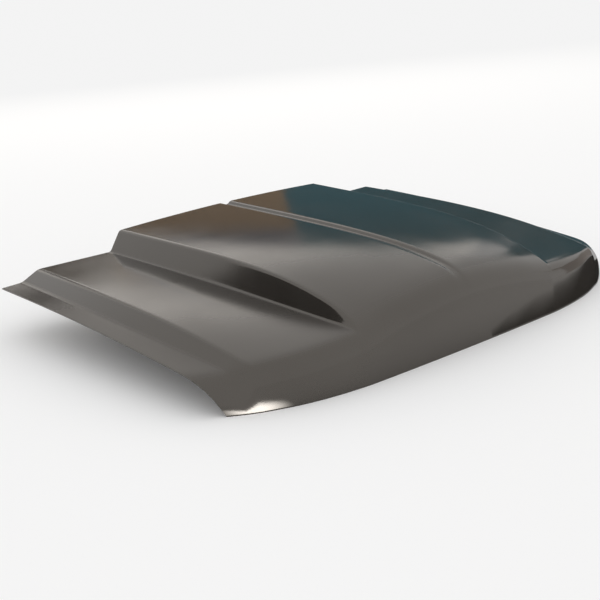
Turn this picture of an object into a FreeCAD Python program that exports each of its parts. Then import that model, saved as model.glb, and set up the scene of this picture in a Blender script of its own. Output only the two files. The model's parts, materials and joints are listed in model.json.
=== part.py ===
import FreeCAD, Part
import Sketcher
import os
from FreeCAD import Vector

os.makedirs("parts", exist_ok=True)
doc = FreeCAD.newDocument("cowl_bonnet")
sheet = doc.addObject("Spreadsheet::Sheet", "sizes")

# Driving sizes in millimetres. X runs across, +Y to the rear, Z up, and a run is
# measured forward from the middle of the rear edge.
sizes = {
    "skin_thickness": 1.2,
    "half_width": 725,
    "rear_sweep": 58,
    "lip_length": 1000,
    "lip_sweep": 112,
    "lip_sweep_power": 4.4,
    "lip_tuck": 36,
    "nose_taper": 32,
    "ledge_rear_width": 56,
    "ledge_nose_width": 71,
    "step_rear_run": 49.5,
    "step_nose_run": 30.5,
    "plateau_rear_width": 217,
    "plateau_nose_width": 254.5,
    "wall_rear_run": 35.5,
    "wall_nose_run": 14,
    "plateau_height": 161,
    "groove_floor_half": 8,
    "groove_half": 16,
    "groove_depth": 8,
    "groove_fade_power": 3,
    "centre_rear_rise": 73.5,
    "centre_nose_rise": 17,
    "centre_fall_power": 5.8,
    "centre_setback": 24,
    "centre_crease": 90,
    "scoop_rear_rise": 61,
    "scoop_nose_rise": -34,
    "scoop_fall_power": 5.7,
    "scoop_setback": 22,
    "scoop_crease": 80,
    "scoop_bend": 16,
    "wall_rear_rise": 4.5,
    "wall_nose_rise": -36,
    "wall_fall_power": 1.5,
    "wall_setback": 23,
    "wall_crease": 40,
    "wall_bend": 14,
    "plateau_nose_rise": -61,
    "plateau_fall_power": 3.5,
    "plateau_taper_power": 3,
    "plateau_setback": 20,
    "plateau_crease": 36,
    "plateau_bend": 18,
    "step_rear_rise": -27.5,
    "step_nose_rise": -75,
    "step_fall_power": 2.3,
    "step_taper_power": 2.5,
    "step_setback": 45,
    "step_crease": 40,
    "step_bend": 18,
    "side_rear_rise": -32,
    "side_nose_rise": -79.5,
    "side_fall_power": 1.9,
    "side_taper_power": 1.2,
    "side_setback": 72,
    "side_crease": 60,
    "rail_thickness": 1,
    "hem_gap": 0.3,
    "hem_return": 11,
    "mastic_gap": 3,
    "rail_bend": 12,
    "rail_flange": 24,
    "rail_spacing": 17,
    "side_rail_floor_drop": 46,
    "side_rail_wall_run": 14,
    "side_rail_floor_inset": 32,
    "brace_offset": 50,
    "brace_floor_width": 50,
    "brace_depth": 38,
    "brace_wall_run": 10,
    "rear_rail_depth": 40,
    "rear_rail_floor_width": 64,
    "rear_rail_wall_run": 10,
    "rear_rail_lap": 16,
    "weld_gap": 0.1,
    "rail_end_gap": 0.9,
    "front_rail_half": 560,
    "front_rail_shelf": 14,
    "front_rail_reach": 130,
    "front_rail_wall_run": 30,
    "front_rail_bend": 24,
    "hinge_plate_margin": 9,
    "hinge_plate_length": 190,
    "hinge_plate_thickness": 3,
    "hinge_plate_corner": 12,
    "hinge_run": 190,
    "hinge_hole_spacing": 110,
    "latch_plate_width": 170,
    "latch_plate_length": 84,
    "latch_plate_thickness": 3,
    "latch_plate_corner": 10,
    "latch_setback": 66,
    "latch_hole_spacing": 120,
    "latch_slot_width": 64,
    "latch_slot_length": 26,
    "bolt_hole_radius": 4.5,
    "nut_radius": 7.5,
    "nut_height": 6.5,
    "nut_bore_radius": 4,
    "mastic_width": 14,
    "mastic_squeeze": 0.3,
    "mastic_length_share": 0.025,
    "side_dab_count": 5,
    "brace_dab_count": 4,
}
for row, (alias, value) in enumerate(sizes.items(), 1):
    sheet.set("A%d" % row, alias)
    sheet.set("B%d" % row, str(value))
    sheet.setAlias("B%d" % row, alias)
doc.recompute()


def size(alias):
    return float(sheet.get(alias))


skin_thickness = size("skin_thickness")
plateau_height = size("plateau_height")
datum = (size("lip_length") - size("rear_sweep")) / 2

# Half widths of the skin's lines at the rear edge, at the nose and at the lip.
rear_half = {"centre": 0, "side": size("half_width")}
nose_half = {"centre": 0, "side": size("half_width") - size("nose_taper")}
for half, end in ((rear_half, "rear"), (nose_half, "nose")):
    half["step"] = half["side"] - size("ledge_%s_width" % end)
    half["plateau"] = half["step"] - size("step_%s_run" % end)
    half["wall"] = half["plateau"] - size("plateau_%s_width" % end)
    half["scoop"] = half["wall"] - size("wall_%s_run" % end)
lip_half = dict(nose_half, side=nose_half["side"] - size("lip_tuck"))


def place(across, run, height):
    return Vector(across, datum - run, height)


def lip_run(across):
    share = (across / lip_half["side"]) ** size("lip_sweep_power")
    return size("lip_length") - size("lip_sweep") * share


def feature_line(name, rear_rise, taper_power):
    """Poles of one lengthwise line of the skin, from the rear edge to the nose lip."""
    nose_rise = size(name + "_nose_rise")
    setback = size(name + "_setback")
    rear_run = -size("rear_sweep") * (rear_half[name] / size("half_width")) ** 2
    crest_run = lip_run(lip_half[name]) - setback
    length = crest_run - rear_run
    crest_height = plateau_height + nose_rise
    poles = []
    for share in (0, 0.25, 0.5, 0.75, 1 - size(name + "_crease") / length, 1):
        across = rear_half[name] + (nose_half[name] - rear_half[name]) * share ** taper_power
        rise = rear_rise + (nose_rise - rear_rise) * share ** size(name + "_fall_power")
        poles.append(place(across, rear_run + length * share, plateau_height + rise))
    for forward, down in ((0.8, 0.38), (1, 0.72), (1, 1)):
        across = nose_half[name] + (lip_half[name] - nose_half[name]) * down
        poles.append(place(across, crest_run + setback * forward, crest_height * (1 - down)))
    return poles


def bent(before, corner, after, leg):
    """Three poles that round a corner, with legs kept inside its two sides."""
    back = before - corner
    ahead = after - corner
    first = corner + back * min(leg / back.Length, 0.4)
    last = corner + ahead * min(leg / ahead.Length, 0.4)
    return [first, corner, last]


def bent_rows(lines, legs):
    """Rows of poles through a list of lines, each inner line rounded with its leg."""
    rows = [lines[0]]
    for index in range(1, len(lines) - 1):
        triples = []
        for before, corner, after in zip(lines[index - 1], lines[index], lines[index + 1]):
            triples.append(bent(before, corner, after, legs[index - 1]))
        for part in range(3):
            rows.append([triple[part] for triple in triples])
    rows.append(lines[-1])
    return rows


def mirrored(rows):
    return [[Vector(-pole.x, pole.y, pole.z) for pole in row] for row in reversed(rows)]


def between(first, second, share):
    return [a + (b - a) * share for a, b in zip(first, second)]


def offset_net(net, distance):
    """The pole net moved inward, square to the faces that meet at each pole."""
    moved = []
    for i, row in enumerate(net):
        line = []
        for j, pole in enumerate(row):
            normals = []
            for a in (-1, 1):
                for b in (-1, 1):
                    if 0 <= i + a < len(net) and 0 <= j + b < len(row):
                        across = (net[i + a][j] - pole) * a
                        along = (row[j + b] - pole) * b
                        normals.append(across.cross(along).normalize())
            mean = Vector()
            for normal in normals:
                mean += normal
            mean.normalize()
            spread = sum(mean.dot(normal) for normal in normals) / len(normals)
            line.append(pole + mean * (distance / spread))
        moved.append(line)
    return moved


def knots(count, degree):
    return [index / (count - degree) for index in range(count - degree + 1)]


def multiplicities(count, degree):
    return [degree + 1] + [1] * (count - degree - 1) + [degree + 1]


def surface_of(net, row_degree, station_degree):
    surface = Part.BSplineSurface()
    surface.buildFromPolesMultsKnots(
        net,
        multiplicities(len(net), row_degree),
        multiplicities(len(net[0]), station_degree),
        knots(len(net), row_degree),
        knots(len(net[0]), station_degree),
        False, False, row_degree, station_degree)
    return surface


def line_edge(line, degree):
    curve = Part.BSplineCurve()
    curve.buildFromPolesMultsKnots(line, multiplicities(len(line), degree), knots(len(line), degree),
                                   False, degree)
    return curve.toShape()


def strip_faces(top, bottom, span):
    """Faces of a sheet between two surfaces, with one strip for each span of rows, and its ends."""
    first, last, start, end = span
    inner_knots = [knot for knot in top.getUKnots() if first < knot < last]
    cuts = [first] + inner_knots + [last]
    faces = []
    for low, high in zip(cuts, cuts[1:]):
        strips = [top.copy(), bottom.copy()]
        for strip in strips:
            strip.segment(low, high, start, end)
            faces.append(strip.toShape())
        for along in (start, end):
            edges = [strip.vIso(along).toShape() for strip in strips]
            faces.append(Part.makeRuledSurface(*edges))
    return faces


def solid_of(faces):
    shell = Part.makeShell(faces)
    shell.sewShape()
    solid = Part.makeSolid(shell)
    if solid.Volume < 0:
        solid.reverse()
    return solid


def pressed_sheet(net, thickness, degrees, span=(0, 1, 0, 1)):
    """A closed sheet between the net and its inward copy, kept inside a span."""
    top = surface_of(net, *degrees)
    bottom = surface_of(offset_net(net, thickness), *degrees)
    faces = strip_faces(top, bottom, span)
    for surface in (top, bottom):
        surface.segment(*span)
    for across in span[:2]:
        edges = [surface.uIso(across).toShape() for surface in (top, bottom)]
        faces.append(Part.makeRuledSurface(*edges))
    return solid_of(faces)


def fold_faces(outer_lines, inner_lines, degree):
    """Faces of a folded edge, through matching lines of its outside and its inside."""
    faces = []
    for lines in (outer_lines, inner_lines, [outer_lines[-1], inner_lines[-1]]):
        edges = [line_edge(line, degree) for line in lines]
        for near, far in zip(edges, edges[1:]):
            faces.append(Part.makeRuledSurface(near, far))
    for end in (0, -1):
        for step in range(len(outer_lines) - 1):
            edges = []
            for lines in (outer_lines, inner_lines):
                edges.append(Part.makeLine(lines[step][end], lines[step + 1][end]))
            faces.append(Part.makeRuledSurface(*edges))
    return faces


def share_at_run(surface, across, run):
    """The lengthwise share of a surface at which one of its rows reaches a run."""
    low, high = 0.0, 1.0
    for step in range(40):
        middle = (low + high) / 2
        if datum - surface.value(across, middle).y < run:
            low = middle
        else:
            high = middle
    return low


def share_across(surface, across, along):
    """The crosswise share of a surface at which it reaches a distance from the middle."""
    low, high = 0.5, 1.0
    for step in range(40):
        middle = (low + high) / 2
        if surface.value(middle, along).x < across:
            low = middle
        else:
            high = middle
    return low


def sheet_feature(label, shape):
    feature = doc.addObject("Part::Feature", label)
    feature.Shape = shape
    return feature


# The skin: lengthwise lines from the middle to the side edge, then mirrored.
centre = feature_line("centre", size("centre_rear_rise"), 1)
scoop_edge = feature_line("scoop", size("scoop_rear_rise"), 1)
wall_base = feature_line("wall", size("wall_rear_rise"), 1)
plateau_edge = feature_line("plateau", 0, size("plateau_taper_power"))
step_foot = feature_line("step", size("step_rear_rise"), size("step_taper_power"))
side_edge = feature_line("side", size("side_rear_rise"), size("side_taper_power"))


def crown_line(share, sink=0):
    """A line of the crowned scoop top at a share of its half width."""
    line = []
    for index, (inner, outer) in enumerate(zip(centre, scoop_edge)):
        fade = max(0, 1 - (index / 5) ** size("groove_fade_power"))
        pole = inner + (outer - inner) * share ** 2
        line.append(Vector(outer.x * share, pole.y, pole.z - sink * fade))
    return line


groove_share = size("groove_half") / rear_half["scoop"]
floor_share = size("groove_floor_half") / rear_half["scoop"]
top_rows = [
    crown_line(0, size("groove_depth")),
    crown_line(floor_share, size("groove_depth")),
    crown_line(groove_share),
    crown_line(groove_share * 2),
    crown_line(0.35),
]


def bowed(inner_line, outer_line, shares):
    """A line between two others, with its nose bowed forward as the lip is."""
    first = inner_line[-1].x
    last = outer_line[-1].x
    across = first + (last - first) * shares[-1]
    straight_run = lip_run(first) + (lip_run(last) - lip_run(first)) * shares[-1]
    bow = lip_run(across) - straight_run
    line = []
    for index, (inner, outer, share) in enumerate(zip(inner_line, outer_line, shares)):
        line.append(inner + (outer - inner) * share - Vector(0, bow * min(index / 4, 1), 0))
    return line


def plateau_line(share):
    return bowed(wall_base, plateau_edge, [share] * len(wall_base))


inner_rows = bent_rows([crown_line(0.7), scoop_edge, wall_base, plateau_line(0.3)],
                       [size("scoop_bend"), size("wall_bend")])
outer_rows = bent_rows([plateau_line(0.65), plateau_edge, step_foot, side_edge],
                       [size("plateau_bend"), size("step_bend")])
open_half = top_rows + inner_rows + outer_rows
open_net = mirrored(open_half[1:]) + open_half

# The side edges are folded back under as a hem that holds the rail flanges.
hem_depth = 2 * skin_thickness + size("rail_thickness") + 2 * size("hem_gap")
under_net = offset_net(open_net, skin_thickness)
roof_net = offset_net(open_net, hem_depth - skin_thickness)
hem_net = offset_net(open_net, hem_depth)


def hem_line(net, reach):
    """The edge line of a net, moved in towards the middle by a distance."""
    return [edge + (inner - edge).normalize() * reach for inner, edge in zip(net[-3], net[-1])]


hem_outside = [open_net[-1], hem_net[-1], hem_line(hem_net, size("hem_return"))]
hem_inside = [
    hem_line(under_net, skin_thickness),
    hem_line(roof_net, skin_thickness),
    hem_line(roof_net, size("hem_return")),
]
under_net[-1] = hem_inside[0]
under_net[0] = mirrored(hem_inside)[-1]
skin_faces = strip_faces(surface_of(open_net, 2, 3), surface_of(under_net, 2, 3), (0, 1, 0, 1))
skin_faces += fold_faces(hem_outside, hem_inside, 3)
skin_faces += fold_faces(mirrored(hem_outside)[::-1], mirrored(hem_inside)[::-1], 3)
skin = sheet_feature("outer_panel", solid_of(skin_faces))

# Seats for the rails: the skin's lines moved in by the sheet and the bonding gap.
rail_thickness = size("rail_thickness")
rail_bend = size("rail_bend")
rail_flange = size("rail_flange")
end_gap = size("rail_end_gap")
rail_width = size("plateau_rear_width") - size("brace_offset") - size("rail_spacing")
flange_net = offset_net(open_net, skin_thickness + size("hem_gap"))
mastic_net = offset_net(open_net, skin_thickness + size("mastic_gap"))
wall_row = len(open_half) + len(top_rows) + 4
plateau_row = wall_row + 5
step_row = plateau_row + 3
seat = surface_of(mastic_net, 2, 3)


def on_plateau(net, start_line, reach):
    """A line of a net's plateau at a distance across from a line of the seat."""
    shares = []
    for inner, outer, start in zip(net[wall_row], net[plateau_row], start_line):
        shares.append((start.x + reach - inner.x) / (outer.x - inner.x))
    return bowed(net[wall_row], net[plateau_row], shares)


def shifted(line, across, drop):
    return [Vector(pole.x + across, pole.y, pole.z - drop) for pole in line]


front_run = (size("lip_length") - size("front_rail_reach") - size("front_rail_wall_run")
             - rail_flange)
front_share = share_at_run(seat, 0.5, front_run)
rail_share = share_at_run(seat, 0.5, front_run - end_gap)
rear_rail_run = size("rear_rail_floor_width") + 2 * (size("rear_rail_wall_run") + rail_flange)
brace_across = share_across(seat, rear_half["wall"] + size("brace_offset"), 0)
brace_share = share_at_run(seat, brace_across, rear_rail_run + 2 * end_gap)
edge_share = share_at_run(seat, 0.5, 2 * skin_thickness)
lap_across = share_across(seat, rear_half["plateau"] - rail_width, 0)

# Side rails: a channel from under the plateau to the hem of the side edge.
floor_height = plateau_height - size("side_rail_floor_drop")
plateau_seat = mastic_net[plateau_row]
inner_wall = on_plateau(mastic_net, plateau_seat, rail_flange - rail_width)


def at_floor(line, across):
    """A line brought down to the level rail floor, which falls only near the nose."""
    floor = []
    for index, pole in enumerate(line):
        height = floor_height
        if index > 3:
            height = min(floor_height, plateau_seat[index].z - size("side_rail_floor_drop"))
        floor.append(Vector(pole.x + across, pole.y, height))
    return floor


side_lines = [
    on_plateau(mastic_net, plateau_seat, -rail_width),
    inner_wall,
    at_floor(inner_wall, size("side_rail_wall_run")),
    at_floor(plateau_seat, -size("side_rail_floor_inset")),
    between(flange_net[step_row], flange_net[-1], 0.3),
    between(flange_net[step_row], flange_net[-1], 0.94),
]
side_net = bent_rows(side_lines, [rail_bend] * 4)
side_span = (0, 1, edge_share, rail_share)
side_sheets = {
    "left": sheet_feature("side_sheet_left",
                          pressed_sheet(side_net, rail_thickness, (2, 3), side_span)),
    "right": sheet_feature("side_sheet_right",
                           pressed_sheet(mirrored(side_net), rail_thickness, (2, 3), side_span)),
}

# Braces: hat channels along the foot of the scoop walls, between the two cross rails.
wall_seat = mastic_net[wall_row]
brace_top = on_plateau(mastic_net, wall_seat, size("brace_offset") - rail_flange)
wall_run = size("brace_wall_run")
brace_floor = size("brace_floor_width")
brace_lines = [
    shifted(brace_top, -2 * wall_run - brace_floor - rail_flange, size("brace_depth") / 4),
    shifted(brace_top, -2 * wall_run - brace_floor, size("brace_depth") / 4),
    shifted(brace_top, -wall_run - brace_floor, size("brace_depth")),
    shifted(brace_top, -wall_run, size("brace_depth")),
    brace_top,
    on_plateau(mastic_net, wall_seat, size("brace_offset")),
]
brace_net = bent_rows(brace_lines, [rail_bend] * 4)
brace_span = (0, 1, brace_share, rail_share)
brace_left = sheet_feature("brace_left", pressed_sheet(brace_net, rail_thickness, (2, 3), brace_span))
brace_right = sheet_feature("brace_right",
                            pressed_sheet(mirrored(brace_net), rail_thickness, (2, 3), brace_span))

# Rear rail: a straight hat channel below the mouth of the scoop.
rear_rail_half = plateau_seat[0].x - rail_width + size("rear_rail_lap")
rear_top = seat.value(lap_across, 1.2 * brace_share).z - rail_thickness - size("weld_gap")
rear_floor = rear_top - size("rear_rail_depth")
rear_wall = size("rear_rail_wall_run")
rear_profile = []
run = 0
for step, height in ((end_gap, rear_top), (rail_flange, rear_top), (rear_wall, rear_floor),
                     (size("rear_rail_floor_width"), rear_floor), (rear_wall, rear_top),
                     (rail_flange, rear_top)):
    run += step
    rear_profile.append(place(0, run, height))
rear_net = []
for row in reversed(bent_rows([[pole] for pole in rear_profile], [rail_bend] * 4)):
    rear_net.append([Vector(across, row[0].y, row[0].z) for across in (-rear_rail_half, rear_rail_half)])
rear_rail = sheet_feature("rear_rail", pressed_sheet(rear_net, rail_thickness, (2, 1)))

# Front rail: closes the nose from the lip back to the underside of the skin.
shelf = size("front_rail_shelf")
lip_line = [row[-1] for row in flange_net]
flange_share = share_at_run(seat, 0.5, size("lip_length") - size("front_rail_reach")
                            - size("front_rail_wall_run"))
front_lines = [
    seat.vIso(front_share).getPoles(),
    seat.vIso(flange_share).getPoles(),
    [Vector(pole.x, pole.y + size("front_rail_reach"), shelf) for pole in lip_line],
    [Vector(pole.x, pole.y, shelf) for pole in lip_line],
    [Vector(pole.x, pole.y, shelf / 7) for pole in lip_line],
]
front_net = bent_rows(front_lines, [size("front_rail_bend")] * 3)[::-1]
across_net = [list(row) for row in zip(*front_net)]
front_edge = share_across(surface_of(across_net, 2, 2), size("front_rail_half"), 0.5)
front_sheet = sheet_feature("front_sheet", pressed_sheet(front_net, rail_thickness, (2, 2),
                                                         (0, 1, 1 - front_edge, front_edge)))


def drill(name, across, rearward, height, radius):
    """A drill at a point given by expressions of the sheet."""
    tool = doc.addObject("Part::Cylinder", name)
    tool.setExpression("Radius", radius)
    tool.setExpression("Height", "4 * sizes.nut_height")
    tool.setExpression("Placement.Base.x", across)
    tool.setExpression("Placement.Base.y", rearward)
    tool.setExpression("Placement.Base.z", height + " - 2 * sizes.nut_height")
    return tool


def drilled(label, base, tools):
    group = doc.addObject("Part::Compound", label + "_tools")
    group.Links = tools
    cut = doc.addObject("Part::Cut", label)
    cut.Base = base
    cut.Tool = group
    return cut


def plate(label, across, along, thickness, corner, spacing, axis):
    """A flat reinforcement with round corners and two bolt holes on one axis."""
    body = doc.addObject("PartDesign::Body", label)
    flat = body.Origin.OriginFeatures[3]
    outline = body.newObject("Sketcher::SketchObject", label + "_outline")
    outline.AttachmentSupport = [(flat, "")]
    outline.MapMode = "FlatFace"
    ends = [Vector(-1, -1, 0), Vector(1, -1, 0), Vector(1, 1, 0), Vector(-1, 1, 0)]
    for index in range(4):
        outline.addGeometry(Part.LineSegment(ends[index] * 40, ends[(index + 1) % 4] * 40))
    for index in range(4):
        outline.addConstraint(Sketcher.Constraint("Coincident", index, 2, (index + 1) % 4, 1))
        level = "Horizontal" if index % 2 == 0 else "Vertical"
        outline.addConstraint(Sketcher.Constraint(level, index))
    outline.addConstraint(Sketcher.Constraint("Symmetric", 0, 1, 1, 2, -1, 1))
    outline.addConstraint(Sketcher.Constraint("DistanceX", 0, 1, 0, 2, 80))
    outline.setExpression("Constraints[%d]" % (outline.ConstraintCount - 1), across)
    outline.addConstraint(Sketcher.Constraint("DistanceY", 1, 1, 1, 2, 80))
    outline.setExpression("Constraints[%d]" % (outline.ConstraintCount - 1), along)
    pad = body.newObject("PartDesign::Pad", label + "_pad")
    pad.Profile = outline
    pad.setExpression("Length", thickness)
    doc.recompute()
    upright = []
    for index, edge in enumerate(pad.Shape.Edges, 1):
        if abs(edge.tangentAt(edge.FirstParameter).z) > 0.9:
            upright.append("Edge%d" % index)
    rounding = body.newObject("PartDesign::Fillet", label + "_corners")
    rounding.Base = (pad, upright)
    rounding.setExpression("Radius", corner)
    pattern = body.newObject("Sketcher::SketchObject", label + "_holes")
    pattern.AttachmentSupport = [(flat, "")]
    pattern.MapMode = "FlatFace"
    step = Vector(30, 0, 0) if axis == -1 else Vector(0, 30, 0)
    for centre_point in (step * -1, step):
        pattern.addGeometry(Part.Circle(centre_point, Vector(0, 0, 1), 4))
    pattern.addConstraint(Sketcher.Constraint("Symmetric", 0, 3, 1, 3, -1, 1))
    pattern.addConstraint(Sketcher.Constraint("PointOnObject", 0, 3, axis))
    pattern.addConstraint(Sketcher.Constraint("Equal", 0, 1))
    pattern.addConstraint(Sketcher.Constraint("Radius", 0, 4))
    pattern.setExpression("Constraints[3]", "sizes.bolt_hole_radius")
    pattern.addConstraint(Sketcher.Constraint("Distance", 0, 3, 1, 3, 60))
    pattern.setExpression("Constraints[4]", spacing)
    holes = body.newObject("PartDesign::Pocket", label + "_drilled")
    holes.Profile = pattern
    holes.Type = 1
    holes.Midplane = True
    return body


def settle(item, across, rearward, height):
    item.setExpression("Placement.Base.x", across)
    item.setExpression("Placement.Base.y", rearward)
    item.setExpression("Placement.Base.z", height)


def weld_nut(name, across, rearward, height):
    """A hexagon nut with its bore, standing at a point given by expressions."""
    hexagon = doc.addObject("Part::Prism", name + "_hexagon")
    hexagon.Polygon = 6
    hexagon.setExpression("Circumradius", "sizes.nut_radius")
    hexagon.setExpression("Height", "sizes.nut_height")
    settle(hexagon, across, rearward, height)
    bore = drill(name + "_bore", across, rearward, height, "sizes.nut_bore_radius")
    nut = doc.addObject("Part::Cut", name)
    nut.Base = hexagon
    nut.Tool = bore
    return nut


def group_of(label, members):
    group = doc.addObject("Part::Compound", label)
    group.Links = members
    return group


# Hinge plates and nuts on the level floors of the side rails.
middle_text = "(sizes.lip_length - sizes.rear_sweep) / 2"
floor_edge_text = ("sizes.half_width - sizes.ledge_rear_width - sizes.step_rear_run"
                   " - sizes.side_rail_floor_inset")
floor_width_text = ("(sizes.plateau_rear_width - sizes.brace_offset - sizes.rail_spacing - sizes.rail_flange"
                    " - sizes.side_rail_wall_run - sizes.side_rail_floor_inset)")
hinge_across = "(" + floor_edge_text + " - " + floor_width_text + " / 2)"
hinge_rearward = middle_text + " - sizes.hinge_run"
floor_text = "sizes.plateau_height - sizes.side_rail_floor_drop"
plate_top_text = floor_text + " + sizes.hinge_plate_thickness"
side_rails = {}
hinge_plates = {}
hinge_nuts = []
for side, sign in (("left", ""), ("right", "-1 * ")):
    tools = []
    for end, reach in (("rear", " + "), ("front", " - ")):
        rearward = hinge_rearward + reach + "sizes.hinge_hole_spacing / 2"
        name = side + "_" + end
        tools.append(drill("hinge_drill_" + name, sign + hinge_across, rearward, floor_text,
                           "sizes.bolt_hole_radius"))
        hinge_nuts.append(weld_nut("hinge_nut_" + name, sign + hinge_across, rearward,
                                   plate_top_text))
    side_rails[side] = drilled("side_rail_" + side, side_sheets[side], tools)
    hinge_plates[side] = plate("hinge_plate_" + side,
                               floor_width_text + " - 2 * sizes.hinge_plate_margin",
                               "sizes.hinge_plate_length", "sizes.hinge_plate_thickness",
                               "sizes.hinge_plate_corner", "sizes.hinge_hole_spacing", -2)
    settle(hinge_plates[side], sign + hinge_across, hinge_rearward, floor_text)

# Latch plate and nuts on the shelf of the front rail.
latch_rearward = middle_text + " - sizes.lip_length + sizes.latch_setback"
latch_tools = []
latch_nuts = []
for side, sign in (("left", ""), ("right", "-1 * ")):
    across = sign + "sizes.latch_hole_spacing / 2"
    latch_tools.append(drill("latch_drill_" + side, across, latch_rearward,
                             "sizes.front_rail_shelf", "sizes.bolt_hole_radius"))
    latch_nuts.append(weld_nut("latch_nut_" + side, across, latch_rearward,
                               "sizes.front_rail_shelf + sizes.latch_plate_thickness"))
slot = doc.addObject("Part::Box", "striker_slot")
slot.setExpression("Length", "sizes.latch_slot_width")
slot.setExpression("Width", "sizes.latch_slot_length")
slot.setExpression("Height", "4 * sizes.nut_height")
settle(slot, "-sizes.latch_slot_width / 2", latch_rearward + " - sizes.latch_slot_length / 2",
       "sizes.front_rail_shelf - 2 * sizes.nut_height")
front_rail = drilled("front_rail", front_sheet, latch_tools + [slot])
latch_blank = plate("latch_blank", "sizes.latch_plate_width", "sizes.latch_plate_length",
                    "sizes.latch_plate_thickness", "sizes.latch_plate_corner",
                    "sizes.latch_hole_spacing", -1)
settle(latch_blank, "0", latch_rearward, "sizes.front_rail_shelf")
latch_plate = drilled("latch_plate", latch_blank, [slot])

# Mastic dabs that fill the gap between the plateau and the flanges under it.
squeeze = size("mastic_squeeze")
dab_net = offset_net(open_net, skin_thickness + squeeze)
dab_thickness = size("mastic_gap") - 2 * squeeze


def dabs(name, start_line, reach, first_share, count):
    """Short strips of mastic spread along one flange and its mirror image."""
    lines = [
        on_plateau(dab_net, start_line, reach),
        on_plateau(dab_net, start_line, reach + size("mastic_width")),
    ]
    length = size("mastic_length_share")
    pitch = (rail_share - first_share) / count
    strips = []
    for index in range(count):
        share = first_share + pitch * (index + 0.5) - length / 2
        span = (0, 1, share, share + length)
        for side, net in (("left", lines), ("right", mirrored(lines))):
            strips.append(sheet_feature("%s_%s_%d" % (name, side, index),
                                        pressed_sheet(net, dab_thickness, (1, 3), span)))
    return strips


flange_margin = (rail_flange - size("mastic_width")) / 2 - rail_bend / 4
mastic = dabs("side_dab", plateau_seat, flange_margin - rail_width, edge_share,
              int(size("side_dab_count")))
mastic += dabs("brace_dab", wall_seat, size("brace_offset") - rail_flange + 2 * flange_margin,
               brace_share, int(size("brace_dab_count")))

nodes = {
    "outer_panel": skin,
    "side_rail_left": side_rails["left"],
    "side_rail_right": side_rails["right"],
    "front_rail": front_rail,
    "rear_rail": rear_rail,
    "brace_left": brace_left,
    "brace_right": brace_right,
    "hinge_plate_left": hinge_plates["left"],
    "hinge_plate_right": hinge_plates["right"],
    "hinge_nuts": group_of("hinge_nuts", hinge_nuts),
    "latch_plate": latch_plate,
    "latch_nuts": group_of("latch_nuts", latch_nuts),
    "mastic_dabs": group_of("mastic_dabs", mastic),
}
doc.recompute()
for item in doc.Objects:
    if "Invalid" in item.State or "Error" in item.State:
        raise RuntimeError("%s did not build" % item.Label)
for label, node in nodes.items():
    if node.Shape.isNull() or not node.Shape.isValid():
        raise RuntimeError("%s has no valid shape" % label)
    node.Label = label
    node.Shape.exportStep("parts/%s.step" % label)
    box = node.Shape.BoundBox
    print(label, len(node.Shape.Solids), "solids", [round(v, 2) for v in
          (box.XMin, box.XMax, box.YMin, box.YMax, box.ZMin, box.ZMax)])
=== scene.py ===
import bpy
import json
import math
import numpy as np
from mathutils import Euler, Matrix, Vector


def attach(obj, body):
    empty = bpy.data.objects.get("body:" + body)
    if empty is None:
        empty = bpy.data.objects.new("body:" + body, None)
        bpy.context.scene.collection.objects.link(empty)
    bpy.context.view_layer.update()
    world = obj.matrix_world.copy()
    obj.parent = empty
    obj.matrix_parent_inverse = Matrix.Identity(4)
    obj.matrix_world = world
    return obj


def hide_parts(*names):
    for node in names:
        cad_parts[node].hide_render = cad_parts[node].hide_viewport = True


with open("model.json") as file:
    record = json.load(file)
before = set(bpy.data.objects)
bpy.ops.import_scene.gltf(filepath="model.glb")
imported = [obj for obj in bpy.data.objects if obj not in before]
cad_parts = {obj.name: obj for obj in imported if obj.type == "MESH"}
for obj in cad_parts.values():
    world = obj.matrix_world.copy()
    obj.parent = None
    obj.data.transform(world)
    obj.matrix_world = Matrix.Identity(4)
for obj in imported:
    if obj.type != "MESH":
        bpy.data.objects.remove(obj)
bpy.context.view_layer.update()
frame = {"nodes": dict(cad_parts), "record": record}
nodes = frame["nodes"]


# Outer skin: lengthwise lines swept from the rear edge to the nose lip, in metres
skin = {
    "thickness": 0.0012,
    "rearSweep": 0.058,
    "lipLength": 1.0,
    "lipSweep": 0.112,
    "lipPower": 4.4,
    "plateauHeight": 0.161,
    "grooveFloor": 0.008,
    "grooveHalf": 0.016,
    "grooveDepth": 0.008,
    "grooveFade": 4,
    "crownShares": (0.35, 0.7),      # extra lines between the groove and the scoop's edge
    "plateauShares": (0.3, 0.65),    # and between the wall and the plateau's edge
    "stations": (0, 0.25, 0.5, 0.75),
    "noseRoll": ((0.3, 0.38), (0.1, 0.72), (0, 1)),    # lean, and share of the drop to the lip
    "bendLimit": 0.4,      # longest leg of a bend, as a share of its span
    "hemDepth": 0.004,
    "hemReturn": 0.011,
    "hemBend": 0.0015,
    "degreeAcross": 2,
    "degreeAlong": 3,
    "stepsAcross": 6,      # mesh steps for each span of the net
    "stepsAlong": 20,
    "sharpAngle": 50,
}
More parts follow.
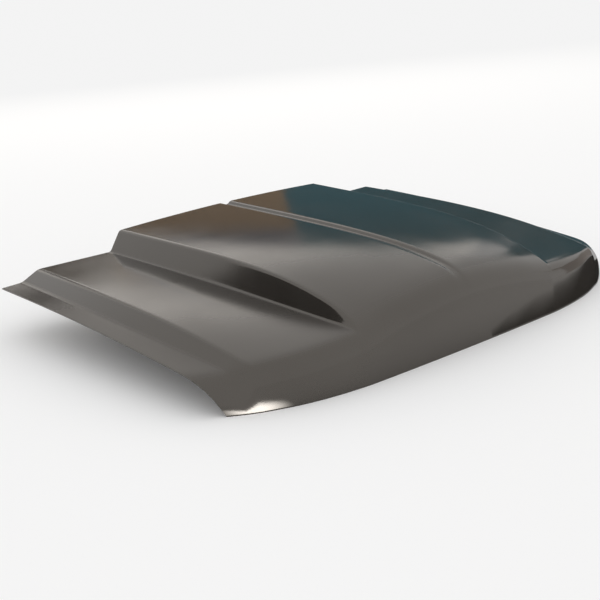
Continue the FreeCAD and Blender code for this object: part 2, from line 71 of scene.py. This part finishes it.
skinLines = {
    "centre": {"rearHalf": 0, "crestHalf": 0, "lipHalf": 0, "rearRise": 0.0735, "crestRise": 0.017,
               "fall": 5.8, "taper": 1, "setback": 0.024, "crease": 0.09},
    "scoop": {"rearHalf": 0.367, "crestHalf": 0.323, "lipHalf": 0.323, "rearRise": 0.061,
              "crestRise": -0.034, "fall": 5.7, "taper": 1, "setback": 0.022, "crease": 0.08,
              "bend": 0.016},
    "wall": {"rearHalf": 0.4025, "crestHalf": 0.337, "lipHalf": 0.337, "rearRise": 0.0045,
             "crestRise": -0.036, "fall": 1.5, "taper": 1, "setback": 0.023, "crease": 0.04,
             "bend": 0.014},
    "plateau": {"rearHalf": 0.6195, "crestHalf": 0.5915, "lipHalf": 0.5915, "rearRise": 0,
                "crestRise": -0.061, "fall": 3.5, "taper": 3, "setback": 0.02, "crease": 0.036,
                "bend": 0.018},
    "step": {"rearHalf": 0.669, "crestHalf": 0.622, "lipHalf": 0.622, "rearRise": -0.0275,
             "crestRise": -0.075, "fall": 2.3, "taper": 2.5, "setback": 0.045, "crease": 0.04,
             "bend": 0.018},
    "side": {"rearHalf": 0.725, "crestHalf": 0.693, "lipHalf": 0.657, "rearRise": -0.032,
             "crestRise": -0.0795, "fall": 1.9, "taper": 1.2, "setback": 0.072, "crease": 0.06},
}
datum = (skin["lipLength"] - skin["rearSweep"]) / 2
creasePole = len(skin["stations"])
crestPole = creasePole + 1


def lipRun(across):
    share = (across / skinLines["side"]["lipHalf"]) ** skin["lipPower"]
    return skin["lipLength"] - skin["lipSweep"] * share


def featureLine(name):
    line = skinLines[name]
    rearRun = -skin["rearSweep"] * (line["rearHalf"] / skinLines["side"]["rearHalf"]) ** 2
    crestRun = lipRun(line["lipHalf"]) - line["setback"]
    length = crestRun - rearRun
    crestHeight = skin["plateauHeight"] + line["crestRise"]
    poles = []
    for share in (*skin["stations"], 1 - line["crease"] / length, 1):
        across = line["rearHalf"] + (line["crestHalf"] - line["rearHalf"]) * share ** line["taper"]
        rise = line["rearRise"] + (line["crestRise"] - line["rearRise"]) * share ** line["fall"]
        poles.append((across, datum - rearRun - length * share, skin["plateauHeight"] + rise))
    for lean, down in skin["noseRoll"]:
        across = line["crestHalf"] + (line["lipHalf"] - line["crestHalf"]) * down
        run = crestRun + line["setback"] * (1 - lean)
        poles.append((across, datum - run, crestHeight * (1 - down)))
    return np.array(poles, float)


def bendEnd(corner, line, leg):
    arm = line - corner
    reach = np.linalg.norm(arm, axis=1, keepdims=True)
    return corner + arm * np.minimum(leg / reach, skin["bendLimit"])


def bentRows(lines, legs):
    rows = [lines[0]]
    for before, corner, after, leg in zip(lines, lines[1:], lines[2:], legs):
        rows += [bendEnd(corner, before, leg), corner, bendEnd(corner, after, leg)]
    rows.append(lines[-1])
    return rows


def mirroredRows(rows):
    return [row * np.array((-1, 1, 1)) for row in reversed(rows)]


def offsetNet(net, distance):
    moved = net.copy()
    rowCount, stationCount = net.shape[:2]
    for i in range(rowCount):
        for j in range(stationCount):
            normals = []
            for a in (-1, 1):
                for b in (-1, 1):
                    if 0 <= i + a < rowCount and 0 <= j + b < stationCount:
                        normal = np.cross((net[i + a, j] - net[i, j]) * a, (net[i, j + b] - net[i, j]) * b)
                        normals.append(normal / np.linalg.norm(normal))
            mean = np.sum(normals, axis=0)
            mean /= np.linalg.norm(mean)
            moved[i, j] += mean * distance / np.mean(np.array(normals) @ mean)
    return moved


def splineBasis(count, degree, shares):
    knots = np.concatenate([np.zeros(degree), np.linspace(0, 1, count - degree + 1), np.ones(degree)])
    shares = np.minimum(shares, 1 - 1e-9)    # the last share lies in the last span
    basis = [((knots[i] <= shares) & (shares < knots[i + 1])).astype(float) for i in range(len(knots) - 1)]
    for level in range(1, degree + 1):
        raised = []
        for i in range(len(basis) - 1):
            total = np.zeros(len(shares))
            left = knots[i + level] - knots[i]
            right = knots[i + level + 1] - knots[i + 1]
            if left > 0:
                total += (shares - knots[i]) / left * basis[i]
            if right > 0:
                total += (knots[i + level + 1] - shares) / right * basis[i + 1]
            raised.append(total)
        basis = raised
    return np.array(basis).T


def skinNet():
    centre, scoop, wall, plateau, step, side = [featureLine(name) for name in skinLines]

    def crownLine(share, sink=0):
        fade = np.clip(1 - (np.arange(len(centre)) / crestPole) ** skin["grooveFade"], 0, None)
        line = centre + (scoop - centre) * share ** 2
        line[:, 0] = scoop[:, 0] * share
        line[:, 2] -= sink * fade
        return line

    def plateauLine(share):
        first, last = wall[-1, 0], plateau[-1, 0]
        straight = lipRun(first) + (lipRun(last) - lipRun(first)) * share
        bow = lipRun(first + (last - first) * share) - straight
        line = wall + (plateau - wall) * share
        line[:, 1] -= bow * np.minimum(np.arange(len(wall)) / creasePole, 1)
        return line

    grooveShare = skin["grooveHalf"] / skinLines["scoop"]["rearHalf"]
    floorShare = skin["grooveFloor"] / skinLines["scoop"]["rearHalf"]
    crownInner, crownOuter = [crownLine(share) for share in skin["crownShares"]]
    plateauInner, plateauOuter = [plateauLine(share) for share in skin["plateauShares"]]
    half = [crownLine(0, skin["grooveDepth"]), crownLine(floorShare, skin["grooveDepth"]),
            crownLine(grooveShare), crownLine(grooveShare * 2), crownInner]
    half += bentRows([crownOuter, scoop, wall, plateauInner],
                     [skinLines["scoop"]["bend"], skinLines["wall"]["bend"]])
    half += bentRows([plateauOuter, plateau, step, side],
                     [skinLines["plateau"]["bend"], skinLines["step"]["bend"]])
    folded = offsetNet(np.array(mirroredRows(half[1:]) + half), skin["hemDepth"])
    inward = folded[-3] - folded[-1]
    hemEnd = folded[-1] + inward / np.linalg.norm(inward, axis=1, keepdims=True) * skin["hemReturn"]
    hemRows = bentRows([half[-2], side, folded[-1], hemEnd], [skin["hemBend"]] * 2)
    half = half[:-1] + hemRows[1:]
    return np.array(mirroredRows(half[1:]) + half)


def netBasis(count, degree, steps):
    spans = count - degree
    return splineBasis(count, degree, np.linspace(0, 1, spans * steps + 1))


def stackedFaces(corners, turned):
    if turned:
        corners.reverse()
    return np.stack(corners, axis=-1).reshape(-1, 4)


def linkedPiece(name, mesh):
    piece = bpy.data.objects.new(name, mesh)
    bpy.context.scene.collection.objects.link(piece)
    return piece


def skinPiece():
    net = skinNet()
    across = netBasis(net.shape[0], skin["degreeAcross"], skin["stepsAcross"])
    along = netBasis(net.shape[1], skin["degreeAlong"], skin["stepsAlong"])
    top = np.einsum("ui,ijk,vj->uvk", across, net, along)
    normals = np.cross(np.gradient(top, axis=0), np.gradient(top, axis=1))
    normals /= np.linalg.norm(normals, axis=2, keepdims=True)
    under = top + normals * skin["thickness"]
    rowCount, stationCount = top.shape[:2]
    index = np.arange(rowCount * stationCount).reshape(rowCount, stationCount)
    lower = index + index.size
    faces = []
    for sheet, turned in ((index, True), (lower, False)):
        faces.append(stackedFaces([sheet[:-1, :-1], sheet[1:, :-1], sheet[1:, 1:], sheet[:-1, 1:]], turned))
    cutEdges = ((index[0], lower[0], True), (index[-1], lower[-1], False),
                (index[:, 0], lower[:, 0], False), (index[:, -1], lower[:, -1], True))
    for upperEdge, lowerEdge, turned in cutEdges:
        faces.append(stackedFaces([upperEdge[:-1], upperEdge[1:], lowerEdge[1:], lowerEdge[:-1]], turned))
    mesh = bpy.data.meshes.new("bonnetSkin")
    mesh.from_pydata(np.concatenate([top.reshape(-1, 3), under.reshape(-1, 3)]).tolist(), [],
                     np.concatenate(faces).tolist())
    mesh.shade_smooth()
    mesh.set_sharp_from_angle(angle=math.radians(skin["sharpAngle"]))
    return linkedPiece("bonnetSkin", mesh)


bonnetSkin = skinPiece()
print("skin", len(bonnetSkin.data.polygons), "faces")


# Finishes: shared coat effects as node groups, one small material for each finish
def newGroup(name, inputs, outputs):
    group = bpy.data.node_groups.new(name, "ShaderNodeTree")
    for title, kind, value in inputs:
        socket = group.interface.new_socket(name=title, in_out="INPUT", socket_type=kind)
        socket.default_value = value
    for title, kind in outputs:
        group.interface.new_socket(name=title, in_out="OUTPUT", socket_type=kind)
    return group, group.nodes.new("NodeGroupInput"), group.nodes.new("NodeGroupOutput")


def addNode(tree, kind, **settings):
    node = tree.nodes.new(kind)
    for title, value in settings.items():
        setattr(node, title, value)
    return node


def feed(tree, socket, value):
    if isinstance(value, (int, float)):
        socket.default_value = value
    else:
        tree.links.new(value, socket)


def noiseNode(tree, coordinates, scale, detail):
    noise = addNode(tree, "ShaderNodeTexNoise")
    noise.inputs["Detail"].default_value = detail
    tree.links.new(coordinates, noise.inputs["Vector"])
    feed(tree, noise.inputs["Scale"], scale)
    return noise.outputs["Fac"]


def rangeNode(tree, value, span, low, high, curve="SMOOTHSTEP"):
    mapped = addNode(tree, "ShaderNodeMapRange", interpolation_type=curve)
    tree.links.new(value, mapped.inputs["Value"])
    for title, limit in zip(("From Min", "From Max", "To Min", "To Max"), (*span, low, high)):
        feed(tree, mapped.inputs[title], limit)
    return mapped.outputs["Result"]


coatNoise = {
    "cloudScale": 7.0,
    "cloudDetail": 4.0,
    "cloudShift": 0.3,
    "cloudSpan": (0.3, 0.7),
    "speckScale": 420.0,
    "speckDetail": 2.0,
    "speckShare": 0.6,
    "peelDetail": 1.5,
}


def buildCoatGroup(pattern):
    # dipped coat: cloudy tone, fine specks, patchy gloss and orange peel
    group, source, result = newGroup(
        "dippedCoat",
        [("Dark", "NodeSocketColor", (0.02, 0.02, 0.02, 1)),
         ("Light", "NodeSocketColor", (0.03, 0.03, 0.03, 1)),
         ("Smooth", "NodeSocketFloat", 0.15),
         ("Dull", "NodeSocketFloat", 0.25),
         ("Peel Scale", "NodeSocketFloat", 180.0)],
        [("Color", "NodeSocketColor"), ("Roughness", "NodeSocketFloat"), ("Height", "NodeSocketFloat")])
    where = addNode(group, "ShaderNodeTexCoord").outputs["Object"]
    clouds = noiseNode(group, where, pattern["cloudScale"], pattern["cloudDetail"])
    specks = noiseNode(group, where, pattern["speckScale"], pattern["speckDetail"])
    peel = noiseNode(group, where, source.outputs["Peel Scale"], pattern["peelDetail"])
    shift = addNode(group, "ShaderNodeMath", operation="SUBTRACT")
    group.links.new(clouds, shift.inputs[0])
    shift.inputs[1].default_value = pattern["cloudShift"]
    blend = addNode(group, "ShaderNodeMath", operation="MULTIPLY_ADD")
    group.links.new(specks, blend.inputs[0])
    blend.inputs[1].default_value = pattern["speckShare"]
    group.links.new(shift.outputs[0], blend.inputs[2])
    tone = addNode(group, "ShaderNodeMix", data_type="RGBA")
    group.links.new(blend.outputs[0], tone.inputs["Factor"])
    group.links.new(source.outputs["Dark"], tone.inputs["A"])
    group.links.new(source.outputs["Light"], tone.inputs["B"])
    gloss = rangeNode(group, clouds, pattern["cloudSpan"], source.outputs["Smooth"], source.outputs["Dull"],
                      "LINEAR")
    group.links.new(tone.outputs["Result"], result.inputs["Color"])
    group.links.new(gloss, result.inputs["Roughness"])
    group.links.new(peel, result.inputs["Height"])
    return group


def buildLevelGroup():
    # mask of the faces that lie nearly level and face up
    group, source, result = newGroup(
        "levelMask",
        [("Steep", "NodeSocketFloat", 0.8), ("Flat", "NodeSocketFloat", 0.95)],
        [("Level", "NodeSocketFloat")])
    normal = addNode(group, "ShaderNodeSeparateXYZ")
    group.links.new(addNode(group, "ShaderNodeTexCoord").outputs["Normal"], normal.inputs[0])
    mask = rangeNode(group, normal.outputs["Z"], (source.outputs["Steep"], source.outputs["Flat"]), 0.0, 1.0)
    group.links.new(mask, result.inputs["Level"])
    return group


coatGroup = buildCoatGroup(coatNoise)
levelGroup = buildLevelGroup()


def coatMaterial(name, finish):
    material = bpy.data.materials.new(name)
    material.use_nodes = True
    tree = material.node_tree
    shader = tree.nodes["Principled BSDF"]
    coat = addNode(tree, "ShaderNodeGroup", node_tree=coatGroup)
    coat.inputs["Dark"].default_value = (*finish["dark"], 1)
    coat.inputs["Light"].default_value = (*finish["light"], 1)
    coat.inputs["Smooth"].default_value = finish["smooth"]
    coat.inputs["Dull"].default_value = finish["dull"]
    coat.inputs["Peel Scale"].default_value = finish["peelScale"]
    bump = addNode(tree, "ShaderNodeBump")
    bump.inputs["Strength"].default_value = finish["peelStrength"]
    bump.inputs["Distance"].default_value = finish["peelDepth"]
    # level faces hold dust, which is lost from sight at a low angle
    facing = addNode(tree, "ShaderNodeLayerWeight").outputs["Facing"]
    level = addNode(tree, "ShaderNodeGroup", node_tree=levelGroup)
    dusty = addNode(tree, "ShaderNodeMath", operation="MULTIPLY_ADD")
    tree.links.new(rangeNode(tree, facing, finish["dustSight"], finish["dust"], 0.0), dusty.inputs[0])
    tree.links.new(level.outputs["Level"], dusty.inputs[1])
    tree.links.new(coat.outputs["Roughness"], dusty.inputs[2])
    tree.links.new(coat.outputs["Color"], shader.inputs["Base Color"])
    tree.links.new(dusty.outputs[0], shader.inputs["Roughness"])
    tree.links.new(coat.outputs["Height"], bump.inputs["Height"])
    tree.links.new(bump.outputs["Normal"], shader.inputs["Normal"])
    shader.inputs["IOR"].default_value = finish["ior"]
    shader.inputs["Specular Tint"].default_value = (*finish["tint"], 1)
    shader.inputs["Metallic"].default_value = finish["metallic"]
    return material


primerFinish = {
    "dark": (0.024, 0.021, 0.018),
    "light": (0.036, 0.032, 0.028),
    "smooth": 0.09,
    "dull": 0.14,
    "dust": 0.28,
    "dustSight": (0.5, 0.76),
    "peelScale": 220.0,
    "peelStrength": 0.17,
    "peelDepth": 0.0004,
    "ior": 1.75,
    "tint": (1.0, 0.93, 0.85),
    "metallic": 0.0,
}
frameFinish = dict(primerFinish, smooth=0.3, dull=0.45, peelStrength=0.2)
plateFinish = dict(primerFinish, dark=(0.025, 0.023, 0.02), light=(0.04, 0.036, 0.032),
                   smooth=0.35, dull=0.5)
nutFinish = dict(primerFinish, dark=(0.4, 0.37, 0.3), light=(0.56, 0.53, 0.45),
                 smooth=0.3, dull=0.45, peelScale=900.0, metallic=1.0)
masticFinish = dict(primerFinish, dark=(0.012, 0.012, 0.012), light=(0.03, 0.03, 0.03),
                    smooth=0.6, dull=0.8, peelScale=300.0, peelStrength=0.6, peelDepth=0.001, ior=1.45)
slotFinishes = {
    "primer": coatMaterial("primerCoat", primerFinish),
    "frame_coat": coatMaterial("frameCoat", frameFinish),
    "plate_coat": coatMaterial("plateCoat", plateFinish),
    "nut_steel": coatMaterial("nutZinc", nutFinish),
    "mastic": coatMaterial("masticBlack", masticFinish),
}
bonnetSkin.data.materials.append(slotFinishes["primer"])
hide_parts("outer_panel")
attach(bonnetSkin, "root")
for part in frame["record"]["subparts"]:
    for slot in nodes[part["node"]].material_slots:
        slot.material = slotFinishes[part["material_slot"]]
print("finishes", len(slotFinishes))


# Spot weld marks under the hinge floors, the latch shelf and the rear rail's laps
weldMarks = {
    "radius": 0.0034,
    "rim": 0.0005,
    "rimSquash": (1, 1, 0.5),    # the rim is a low ridge
    "ringSteps": 28,
    "rimSteps": 8,
    "spread": 0.1,
    "seed": 7,
    "proud": 0.0001,
    "groups": (    # across, along and level on the left, mirrored to the right
        ((0.526, 0.569), (0.196, 0.281, 0.366), 0.114),
        ((0.03, 0.076), (-0.496, -0.43), 0.013),
        ((0.474,), (0.346, 0.463), 0.1546),
    ),
}


def buildWeldTree(marks, material):
    tree = bpy.data.node_groups.new("weldMarks", "GeometryNodeTree")
    tree.interface.new_socket(name="Points", in_out="INPUT", socket_type="NodeSocketGeometry")
    for title in ("Mark Radius", "Rim", "Depth", "Smallest", "Largest"):
        tree.interface.new_socket(name=title, in_out="INPUT", socket_type="NodeSocketFloat")
    tree.interface.new_socket(name="Seed", in_out="INPUT", socket_type="NodeSocketInt")
    tree.interface.new_socket(name="Marks", in_out="OUTPUT", socket_type="NodeSocketGeometry")
    source = addNode(tree, "NodeGroupInput")
    result = addNode(tree, "NodeGroupOutput")
    ring = addNode(tree, "GeometryNodeCurvePrimitiveCircle")
    ring.inputs["Resolution"].default_value = marks["ringSteps"]
    tree.links.new(source.outputs["Mark Radius"], ring.inputs["Radius"])
    section = addNode(tree, "GeometryNodeCurvePrimitiveCircle")
    section.inputs["Resolution"].default_value = marks["rimSteps"]
    tree.links.new(source.outputs["Rim"], section.inputs["Radius"])
    rim = addNode(tree, "GeometryNodeCurveToMesh")
    tree.links.new(ring.outputs["Curve"], rim.inputs["Curve"])
    tree.links.new(section.outputs["Curve"], rim.inputs["Profile Curve"])
    low = addNode(tree, "GeometryNodeTransform")
    low.inputs["Scale"].default_value = marks["rimSquash"]
    tree.links.new(rim.outputs["Mesh"], low.inputs["Geometry"])
    face = addNode(tree, "GeometryNodeMeshCylinder", fill_type="NGON")
    face.inputs["Vertices"].default_value = marks["ringSteps"]
    tree.links.new(source.outputs["Mark Radius"], face.inputs["Radius"])
    tree.links.new(source.outputs["Depth"], face.inputs["Depth"])
    mark = addNode(tree, "GeometryNodeJoinGeometry")
    tree.links.new(low.outputs["Geometry"], mark.inputs["Geometry"])
    tree.links.new(face.outputs["Mesh"], mark.inputs["Geometry"])
    size = addNode(tree, "FunctionNodeRandomValue", data_type="FLOAT")
    tree.links.new(source.outputs["Smallest"], size.inputs[2])
    tree.links.new(source.outputs["Largest"], size.inputs[3])
    tree.links.new(source.outputs["Seed"], size.inputs["Seed"])
    placed = addNode(tree, "GeometryNodeInstanceOnPoints")
    tree.links.new(source.outputs["Points"], placed.inputs["Points"])
    tree.links.new(mark.outputs["Geometry"], placed.inputs["Instance"])
    tree.links.new(size.outputs[1], placed.inputs["Scale"])
    real = addNode(tree, "GeometryNodeRealizeInstances")
    tree.links.new(placed.outputs["Instances"], real.inputs["Geometry"])
    smooth = addNode(tree, "GeometryNodeSetShadeSmooth")
    tree.links.new(real.outputs["Geometry"], smooth.inputs["Geometry"])
    coated = addNode(tree, "GeometryNodeSetMaterial")
    coated.inputs["Material"].default_value = material
    tree.links.new(smooth.outputs["Geometry"], coated.inputs["Geometry"])
    tree.links.new(coated.outputs["Geometry"], result.inputs["Marks"])
    return tree


def weldPiece(marks, material):
    points = [(x * side, y, level - marks["proud"]) for across, along, level in marks["groups"]
              for x in across for y in along for side in (-1, 1)]
    mesh = bpy.data.meshes.new("spotWelds")
    mesh.from_pydata(points, [], [])
    piece = linkedPiece("spotWelds", mesh)
    modifier = piece.modifiers.new("weldMarks", "NODES")
    modifier.node_group = buildWeldTree(marks, material)
    values = {"Mark Radius": marks["radius"], "Rim": marks["rim"], "Depth": 2 * marks["proud"],
              "Smallest": 1 - marks["spread"], "Largest": 1 + marks["spread"], "Seed": marks["seed"]}
    for socket in modifier.node_group.interface.items_tree:
        if socket.in_out == "INPUT" and socket.name in values:
            modifier[socket.identifier] = values[socket.name]
    plain = bpy.data.meshes.new_from_object(piece.evaluated_get(bpy.context.evaluated_depsgraph_get()))
    piece.modifiers.remove(modifier)
    piece.data = plain
    return piece


spotWelds = weldPiece(weldMarks, slotFinishes["frame_coat"])
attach(spotWelds, "root")
print("weld marks", len(spotWelds.data.polygons), "faces")


# Stage: pale floor, soft white surround, cards that shape the reflections
studio = {
    "floorSize": 90.0,
    "floorColour": (0.95, 0.95, 0.95),
    "fillStrength": 0.95,
    "eyeHeight": 0.18,
    "cardSteps": 60,
}


def plainMaterial(name, colour):
    material = bpy.data.materials.new(name)
    material.use_nodes = True
    shader = material.node_tree.nodes["Principled BSDF"]
    shader.inputs["Base Color"].default_value = (*colour, 1)
    shader.inputs["Roughness"].default_value = 1.0
    shader.inputs["Specular IOR Level"].default_value = 0.0
    return material


def stagePiece(name, points, faces, colour):
    mesh = bpy.data.meshes.new(name)
    mesh.from_pydata(points, [], faces)
    mesh.materials.append(plainMaterial(name, colour))
    piece = linkedPiece(name, mesh)
    return piece


def stageSquare(name, half, colour):
    points = [(-half, -half, 0), (half, -half, 0), (half, half, 0), (-half, half, 0)]
    return stagePiece(name, points, [(0, 1, 2, 3)], colour)


def reflectionOnly(piece):    # no tint or shade on the floor
    piece.visible_camera = False
    piece.visible_diffuse = False
    piece.visible_shadow = False


stageSquare("floor", studio["floorSize"] / 2, studio["floorColour"])

cards = {    # compass degrees from straight behind, upper edge and foot in degrees of height
    "brownCard": {"colour": (0.28, 0.2, 0.13), "radius": 5.0,
                  "turns": (-42, -10, 13, 14.5, 18, 22, 36.8),
                  "tops": (8, 11, 13.5, 17, 17.2, 17.6, 17.8)},
    "slateCard": {"colour": (0.13, 0.145, 0.18), "radius": 5.2,
                  "turns": (17, 20, 23, 27.2, 30.9, 36.8),
                  "tops": (15.8, 16.5, 18.5, 20.3, 22, 24.6)},
    "hedgeCard": {"colour": (0.1, 0.08, 0.06), "radius": 4.9,
                  "turns": (11, 13, 21.5), "tops": (16, 17, 17.3)},
    "postCard": {"colour": (0.04, 0.033, 0.03), "radius": 5.3,
                 "turns": (7, 14.5), "tops": (30, 30), "foot": 19},
    "duskCard": {"colour": (0.55, 0.5, 0.47), "radius": 5.4,
                 "turns": (80, 117), "tops": (15.5, 13)},
    "tealCard": {"colour": (0.05, 0.135, 0.165), "radius": 5.0,
                 "turns": (36.8, 40.5, 47, 53.5, 60, 65, 67.5, 70, 76),
                 "tops": (24.6, 26, 29, 25.5, 20, 17.5, 17.5, 22.5, 24.5)},
    "darkCard": {"colour": (0.03, 0.03, 0.03), "radius": 5.0,
                 "turns": (-95, -80, -47), "tops": (24, 26, 26)},
}


def makeCard(name, card):
    def levelAt(degrees):
        return studio["eyeHeight"] + card["radius"] * math.tan(math.radians(degrees))

    foot = levelAt(card["foot"]) if "foot" in card else 0.0
    points = []
    for turn in np.linspace(card["turns"][0], card["turns"][-1], studio["cardSteps"]):
        x = card["radius"] * math.sin(math.radians(turn))
        y = card["radius"] * math.cos(math.radians(turn))
        points.append((x, y, foot))
        points.append((x, y, levelAt(np.interp(turn, card["turns"], card["tops"]))))
    faces = [(i, i + 1, i + 3, i + 2) for i in range(0, len(points) - 2, 2)]
    reflectionOnly(stagePiece(name, points, faces, card["colour"]))


for name, card in cards.items():
    makeCard(name, card)

noseShadeMat = {    # painted shade: dark floor strip, seen only in reflections, that darkens the lip's far end; pale at its outer edge
    "colour": (0.02, 0.02, 0.02),
    "inner": ((0.06, -0.5), (0.14, -0.5), (0.3, -0.45), (0.5, -0.35), (0.9, -0.3), (3.0, -0.3)),
    "dark": ((0.06, -0.515), (0.14, -0.51), (0.25, -0.51), (0.42, -0.53), (0.85, -0.59), (3.0, -0.7)),
    "outer": ((0.12, -0.575), (0.31, -0.65), (0.62, -0.77), (1.5, -1.1), (3.2, -1.2), (5.0, -1.3)),
    "height": 0.004,
}


# painted shade in the lip's reflection: a dark floor strip that fades to the floor's colour
def makeShadeMat(mat):
    points = []
    shades = []
    for stops in zip(mat["inner"], mat["dark"], mat["outer"]):
        points += [(*stop, mat["height"]) for stop in stops]
        shades += [0.0, 0.0, 1.0]
    faces = [(i + j, i + j + 1, i + j + 4, i + j + 3)
             for i in range(0, len(points) - 3, 3) for j in (0, 1)]
    piece = stagePiece("noseShadeMat", points, faces, mat["colour"])
    piece.data.attributes.new("shade", "FLOAT", "POINT").data.foreach_set("value", shades)
    tree = piece.data.materials[0].node_tree
    shade = addNode(tree, "ShaderNodeAttribute", attribute_name="shade")
    tone = addNode(tree, "ShaderNodeMix", data_type="RGBA")
    tree.links.new(shade.outputs["Fac"], tone.inputs["Factor"])
    tone.inputs["A"].default_value = (*mat["colour"], 1)
    tone.inputs["B"].default_value = (*studio["floorColour"], 1)
    tree.links.new(tone.outputs["Result"], tree.nodes["Principled BSDF"].inputs["Base Color"])
    reflectionOnly(piece)


makeShadeMat(noseShadeMat)

cornerGlow = {    # painted highlight: glowing floor patch, seen only in reflections, that puts a soft bright spot on the near corner of the lip
    "colour": (1.0, 1.0, 1.0),
    "place": (-0.612, -0.478, 0.003),
    "reach": 0.095,
    "core": 0.2,
    "strength": 14.0,
}


# painted highlight: the patch glows, fading out from its centre, and shows only in reflections
def makeGlow(glow):
    reach = glow["reach"]
    piece = stageSquare("cornerGlow", reach, glow["colour"])
    piece.location = glow["place"]
    tree = piece.data.materials[0].node_tree
    shader = tree.nodes["Principled BSDF"]
    shader.inputs["Emission Color"].default_value = (*glow["colour"], 1)
    middle = addNode(tree, "ShaderNodeVectorMath", operation="LENGTH")
    tree.links.new(addNode(tree, "ShaderNodeTexCoord").outputs["Object"], middle.inputs[0])
    fade = rangeNode(tree, middle.outputs["Value"], (reach * glow["core"], reach), glow["strength"], 0.0)
    tree.links.new(fade, shader.inputs["Emission Strength"])
    reflectionOnly(piece)


makeGlow(cornerGlow)


def makeWorld():
    world = bpy.data.worlds.new("studioWhite")
    world.use_nodes = True
    tree = world.node_tree
    fill = tree.nodes["Background"]
    fill.inputs["Color"].default_value = (1, 1, 1, 1)
    fill.inputs["Strength"].default_value = studio["fillStrength"]
    seen = addNode(tree, "ShaderNodeBackground")
    seen.inputs["Color"].default_value = (1, 1, 1, 1)
    rays = addNode(tree, "ShaderNodeLightPath")
    either = addNode(tree, "ShaderNodeMath", operation="MAXIMUM")
    tree.links.new(rays.outputs["Is Camera Ray"], either.inputs[0])
    tree.links.new(rays.outputs["Is Glossy Ray"], either.inputs[1])
    anySeen = addNode(tree, "ShaderNodeMath", operation="MAXIMUM")
    tree.links.new(either.outputs[0], anySeen.inputs[0])
    tree.links.new(rays.outputs["Is Transmission Ray"], anySeen.inputs[1])
    choice = addNode(tree, "ShaderNodeMixShader")
    tree.links.new(anySeen.outputs[0], choice.inputs[0])
    tree.links.new(fill.outputs[0], choice.inputs[1])
    tree.links.new(seen.outputs[0], choice.inputs[2])
    tree.links.new(choice.outputs[0], tree.nodes["World Output"].inputs["Surface"])
    return world


scene = bpy.context.scene
scene.view_settings.view_transform = "Standard"
scene.world = makeWorld()

backSoftbox = {
    "place": (2.7, 4.68, 2.7),
    "aim": (0, 0, 0.15),
    "size": (6.4, 1.9),
    "power": 24.0,
    "colour": (1.0, 0.92, 0.82),
}
lampData = bpy.data.lights.new("backSoftbox", "AREA")
lampData.shape = "RECTANGLE"
lampData.size, lampData.size_y = backSoftbox["size"]
lampData.energy = backSoftbox["power"]
lampData.color = backSoftbox["colour"]
lamp = linkedPiece("backSoftbox", lampData)
lamp.location = backSoftbox["place"]
lamp.rotation_euler = (Vector(backSoftbox["aim"]) - lamp.location).to_track_quat("-Z", "Y").to_euler()

view = {
    "place": (-1.8514, -2.2442, 0.9415),
    "back": (-0.58478, -0.75278, 0.30224),
    "roll": -4.51,
    "lens": 65.49,
    "sensor": 36,
}
cameraData = bpy.data.cameras.new("camera")
cameraData.lens = view["lens"]
cameraData.sensor_width = view["sensor"]
camera = linkedPiece("camera", cameraData)
camera.location = view["place"]
turn = (-Vector(view["back"])).to_track_quat("-Z", "Y")
roll = Euler((0, 0, math.radians(view["roll"]))).to_quaternion()
camera.rotation_euler = (turn @ roll).to_euler()
scene.camera = camera
print("stage ready")
